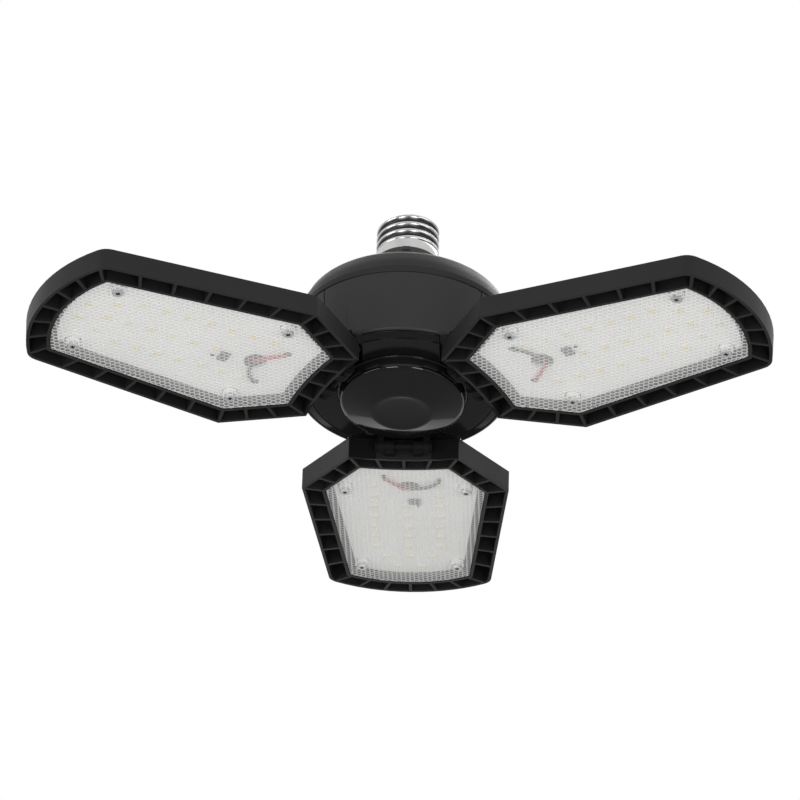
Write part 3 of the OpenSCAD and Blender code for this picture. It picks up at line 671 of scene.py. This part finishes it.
def threadedShell():
    shell = {"r": 13.05, "skirt": 2.5, "top": 14.9, "pitch": 3.63, "depth": 0.62, "inset": 0.02,
             "sharp": 0.85, "perTurn": 72, "perWave": 12, "wall": 0.18, "rootShade": 2.4, "shadeOffset": 0.25}
    r, skirtTop, top, pitch = (shell[k] for k in ("r", "skirt", "top", "pitch"))
    # a wave of one pitch, swept up the base by the Screw modifier
    wave = []
    for k in range(shell["perWave"] + 1):
        s = k / shell["perWave"]
        rise = (0.5 - 0.5 * math.cos(2 * math.pi * s)) ** shell["sharp"]
        wave.append((r - shell["inset"] - shell["depth"] * 2 * (1 - rise), skirtTop + s * pitch - pitch))
    obj = drawLine("threadedShell", wave)
    done(obj)
    modify(obj, "SCREW", angle=2 * math.pi, screw_offset=pitch * mm, axis="Z",
           iterations=math.ceil((top - skirtTop) / pitch) + 1, steps=shell["perTurn"],
           render_steps=shell["perTurn"], use_merge_vertices=True, merge_threshold=weld)
    editing(obj, "VERT")
    for z, side in ((skirtTop, True), (top, False)):
        bpy.ops.mesh.select_all(action="SELECT")
        bpy.ops.mesh.bisect(plane_co=(0, 0, z * mm), plane_no=(0, 0, 1), clear_inner=side,
                            clear_outer=not side)
    bpy.ops.mesh.select_all(action="SELECT")
    bpy.ops.mesh.remove_doubles(threshold=weld)
    bpy.ops.mesh.normals_make_consistent(inside=False)
    done(obj)
    skirt = lathe("skirt", [(r - 1.1, 2.62), (r - 0.3, 2.55), (r, 2.2), (r, -2.1), (r - 0.15, -2.5),
                            (r - 0.6, -2.5), (r - 0.75, -2.2), (r - 0.75, 1.9), (r - 1.4, 2.4)])
    cap = lathe("cap", [(r - 1.5, top - 0.3), (r - 0.75, top - 0.05), (r - 0.9, top + 0.35),
                        (r - 1.5, top + 0.8), (r - 2.6, top + 1), (r - 3, top + 0.95), (r - 3, top + 0.5),
                        (r - 2.6, top + 0.45), (r - 1.7, top - 0.1)])
    joined([obj, skirt, cap])
    modify(obj, "SOLIDIFY", thickness=shell["wall"] * mm, offset=-1)
    bpy.ops.object.shade_smooth_by_angle(angle=math.radians(45))
    # how deep a point lies in the thread, for the painted shade and painted dark reflection there
    root = obj.data.attributes.new("root", "FLOAT", "POINT")
    for v, value in zip(obj.data.vertices, root.data):
        sunk = (r * mm - math.hypot(v.co.x, v.co.y)) / (2 * shell["depth"] * mm)
        inThread = skirtTop * mm < v.co.z < top * mm
        dull = min(1.0, max(0.0, sunk * shell["rootShade"] - shell["shadeOffset"]))
        value.value = dull if inThread else 0.0
    wear(obj, "plating")
    return obj


settle(threadedShell(), "hub", "screw_shell")


def baseTrim():
    insulator = {"r": 10.05, "low": 12.9, "shoulder": 15.9, "round": 2.2, "top": 19.1, "bore": 3.3}
    r, low, shoulder, rounding, top, bore = insulator.values()
    glaze = lathe("glazedInsulator", [(6, low), (r, low), (r, shoulder)]
                  + arc(r - rounding, shoulder + 0.1, rounding, 0, 62, 6)
                  + [(5.6, top - 0.15), (5.4, top), (bore, top), (bore, low), (6, low)])
    wear(glaze, "glazedWhite")
    soften(glaze, 0.00015, angle=30)
    settle(glaze, "hub", "base_insulator")
    contact = {"r": 3.2, "low": 15.1, "high": 20.6}
    r, low, high = contact.values()
    button = lathe("contactButton", [(0, low), (r, low), (r, top), (4.75, top), (4.8, top + 0.2),
                                     (4.6, high - 0.65), (3.6, high - 0.2), (2.2, high - 0.02),
                                     (0, high)], steps=64)
    wear(button, "tinnedBrass")
    soften(button, 0.0001, angle=30)
    settle(button, "hub", "centre_contact")


baseTrim()
plainHub("base_collar", "neckCollar", "collarBlack", 0.0003, steps=3)
print("screw base done")


def hubCap():
    cap = {"joint": -38.9, "band": -36.1, "shoulder": -26.2, "top": -12.5, "r": 45, "spigot": 41.94}
    z0, z1, z2, top, r, spigot = cap.values()
    obj = lathe("hubCap", [(spigot, z0 - 4), (spigot, z0 - 0.4), (r - 1.2, z0 - 0.4), (r - 1.2, z0),
                           (r - 0.35, z0), (r, z0 + 0.35), (r, z1 - 0.2), (r - 0.08, z1 + 0.15),
                           (r - 0.8, z1 + 3), (r - 1.7, z1 + 5.4), (r - 3.1, z2 - 1.6), (r - 3.5, z2 - 0.7),
                           (r - 4.3, z2 + 0.1), (r - 5.3, z2 + 0.7), (r - 6.5, z2 + 1.1),
                           (r - 14, z2 + 5.1), (21, top - 1.6), (17, top - 0.5), (15, top), (8.2, top),
                           (8, top - 0.3), (8, top - 3.4), (20, top - 4.1), (r - 8.1, z2 - 1.2),
                           (r - 5.7, z2 - 2), (spigot - 2, z1), (spigot - 2, z0 - 4),
                           (spigot, z0 - 4)], steps=128)
    soften(obj, 0.0003, angle=28, smooth=30)
    # the three screw posts are kept from the solid
    post = {"out": 0.017, "reach": 0.0038}
    centres = [(post["out"] * math.cos(math.radians(a)), post["out"] * math.sin(math.radians(a)))
               for a in (90, 210, 330)]
    posts = mergedCopy("top_cap", "posts")
    editing(posts, "VERT")
    bm = bmesh.from_edit_mesh(posts.data)
    for v in bm.verts:
        v.select_set(min(math.hypot(v.co.x - x, v.co.y - y) for x, y in centres) > post["reach"])
    bm.select_flush_mode()
    bmesh.update_edit_mesh(posts.data)
    bpy.ops.mesh.delete(type="VERT")
    done(posts)
    for piece in (obj, posts):
        wear(piece, "capSatin")
    joined([obj, posts])
    settle(obj, "hub", "top_cap")


hubCap()


def lowerNotches(obj):
    # the three notches over the leaves end closer above them
    notch = {"top": 0.0146, "lower": 0.0021, "from": 0.035}
    ceiling = notch["top"] - rimDrop
    editing(obj)
    pick(obj, lambda middle, normal: normal.z < -0.9 and abs(middle.z - ceiling) < 0.3 * mm
         and math.hypot(middle.x, middle.y) > notch["from"])
    bpy.ops.transform.translate(value=(0, 0, -notch["lower"]))
    done(obj)


plainHub("hub_body", "hubBody", "hubSatin", 0.00025, steps=3, reshape=lowerNotches)
plainHub("hinge_carrier", "hingeCarrier", "carrierGloss", 0.0003, steps=3)


def centreDish():
    dish = {"r": 26.4, "seat": 12.3, "bead": 9.1, "edge": 3.8, "disc": 11.85, "wall": 2}
    r, seat, bead, edge, disc, t = dish.values()
    outside = [(r, seat), (r, bead + 0.05), (r - 0.05, bead - 0.15), (r - 0.2, bead - 0.32),
               (r - 0.5, bead - 0.4), (r - 0.95, edge + 1.8), (r - 1.1, edge + 1.1), (r - 1.4, edge + 0.55),
               (r - 1.85, edge + 0.15), (r - 2.45, edge - 0.18), (r - 3.2, edge - 0.48),
               (disc + 1.8, 0.02), (disc + 1.1, -0.24), (disc + 0.5, -0.42), (disc, -0.49),
               (disc - 0.6, -0.48), (disc - 1.4, -0.34), (disc - 2.4, -0.14), (disc - 4, 0.02),
               (disc - 6.5, 0.16), (0, 0.3)]
    inside = [(0, t + 0.3), (disc, t - 0.2), (r - t - 2.5, edge + t - 0.6), (r - t - 1.3, edge + t + 1),
              (r - t, bead), (r - t, seat), (r, seat)]
    obj = lathe("centreDish", [(x, z - rimDrop / mm) for x, z in outside + inside], steps=128)
    wear(obj, "gloss", "carrierGloss")
    editing(obj)
    pick(obj, lambda middle, normal: middle.z > (edge + 1.8) * mm - rimDrop
         and math.hypot(middle.x, middle.y) > (r - 1) * mm and abs(normal.z) < 0.4)
    assign(1)  # the steep wall is duller than the cone
    done(obj)
    soften(obj, 0.0001, angle=24, smooth=60)
    settle(obj, "hub", "centre_dish")


centreDish()
print("hub shells done")

for each in "abc":
    plainHub(f"hinge_bracket_{each}", f"hingeBracket_{each}", "blackSteel", 0.0002)
    plainHub(f"hinge_pin_{each}", f"hingePin_{each}", "blackSteel", 0.0002)
    plainHub(f"friction_washers_{each}", f"frictionWashers_{each}", "blackSteel", 0.00005)
plainHub("driver_board", "driverBoard", "pcbGreen", 0.0001)
plainHub("driver_capacitor", "driverCapacitor", "canSleeve", 0.0006, steps=3)
plainHub("driver_transformer", "driverTransformer", "coreTape", 0.0003)
plainHub("driver_parts", "driverParts", "darkEpoxy", 0.0003)
plainHub("base_leads", "baseLeads", "wireRed", 0.00002)
plainHub("hub_leads", "hubLeads", "wireBlack", 0.00002)
plainHub("hub_grommets", "hubGrommets", "blackRubber", 0.0002)
plainHub("hub_screws", "hubScrews", "blackSteel", 0.0003)
plainHub("bracket_screws", "bracketScrews", "blackSteel", 0.0002)
print("hinges and driver done")


hubMiddle = -0.06


def room():
    studio = {"floor": -3.1, "size": 21, "ambient": 0.46, "white": 1.0}
    bpy.ops.object.select_all(action="DESELECT")
    bpy.ops.mesh.primitive_plane_add(size=studio["size"], location=(0, 0, studio["floor"]))
    floor = bpy.context.object
    floor.name = "floor"
    pale = Finish("paleFloor", Roughness=0.8)
    tones = colour(0.80, 0.80, 0.80), colour(0.84, 0.84, 0.83)
    pale.feed("Base Color", pale.blend(pale.noise(3, 4), *tones))
    floor.data.materials.append(pale.mat)
    # white where it is seen, also by reflection, and softer where it only lights
    world = bpy.data.worlds.new("studio")
    bpy.context.scene.world = world
    world.use_nodes = True
    tree = world.node_tree
    tree.nodes.clear()
    path = tree.nodes.new("ShaderNodeLightPath").outputs
    seen = Flow(tree, path["Is Camera Ray"]) + Flow(tree, path["Is Glossy Ray"])
    seen = (seen + Flow(tree, path["Is Transmission Ray"])).atMost(1.0)
    mix = tree.nodes.new("ShaderNodeMixShader")
    tree.links.new(seen.out, mix.inputs[0])
    for k, strength in enumerate((studio["ambient"], studio["white"])):
        sky = tree.nodes.new("ShaderNodeBackground")
        sky.inputs["Color"].default_value = colour(1, 1, 1)
        sky.inputs["Strength"].default_value = strength
        tree.links.new(sky.outputs[0], mix.inputs[k + 1])
    out = tree.nodes.new("ShaderNodeOutputWorld")
    tree.links.new(mix.outputs[0], out.inputs["Surface"])


def lamp(name, place, size, power):
    # a rectangle of light that faces the middle of the hub
    bpy.ops.object.select_all(action="DESELECT")
    bpy.ops.object.light_add(type="AREA", location=place)
    light = bpy.context.object
    light.name = name
    light.data.shape = "RECTANGLE"
    light.data.size, light.data.size_y = size
    light.data.energy = power
    aim = Vector((0, 0, hubMiddle)) - Vector(place)
    light.rotation_euler = aim.to_track_quat("-Z", "Y").to_euler()


room()
lamp("lampLeft", (-1.5, -1.0, -0.7), (1.0, 0.8), 11)
lamp("lampRight", (1.6, -0.9, -0.6), (1.3, 1.2), 8)
lamp("lampBelowLeft", (-0.45, -1.3, -1.2), (0.5, 0.5), 7.5)
lamp("lampBelowRight", (0.7, -1.25, -1.15), (0.5, 0.5), 7.5)
lamp("lampTop", (0.2, 0.8, 1.4), (1.4, 1.0), 14)
print("room and light done")
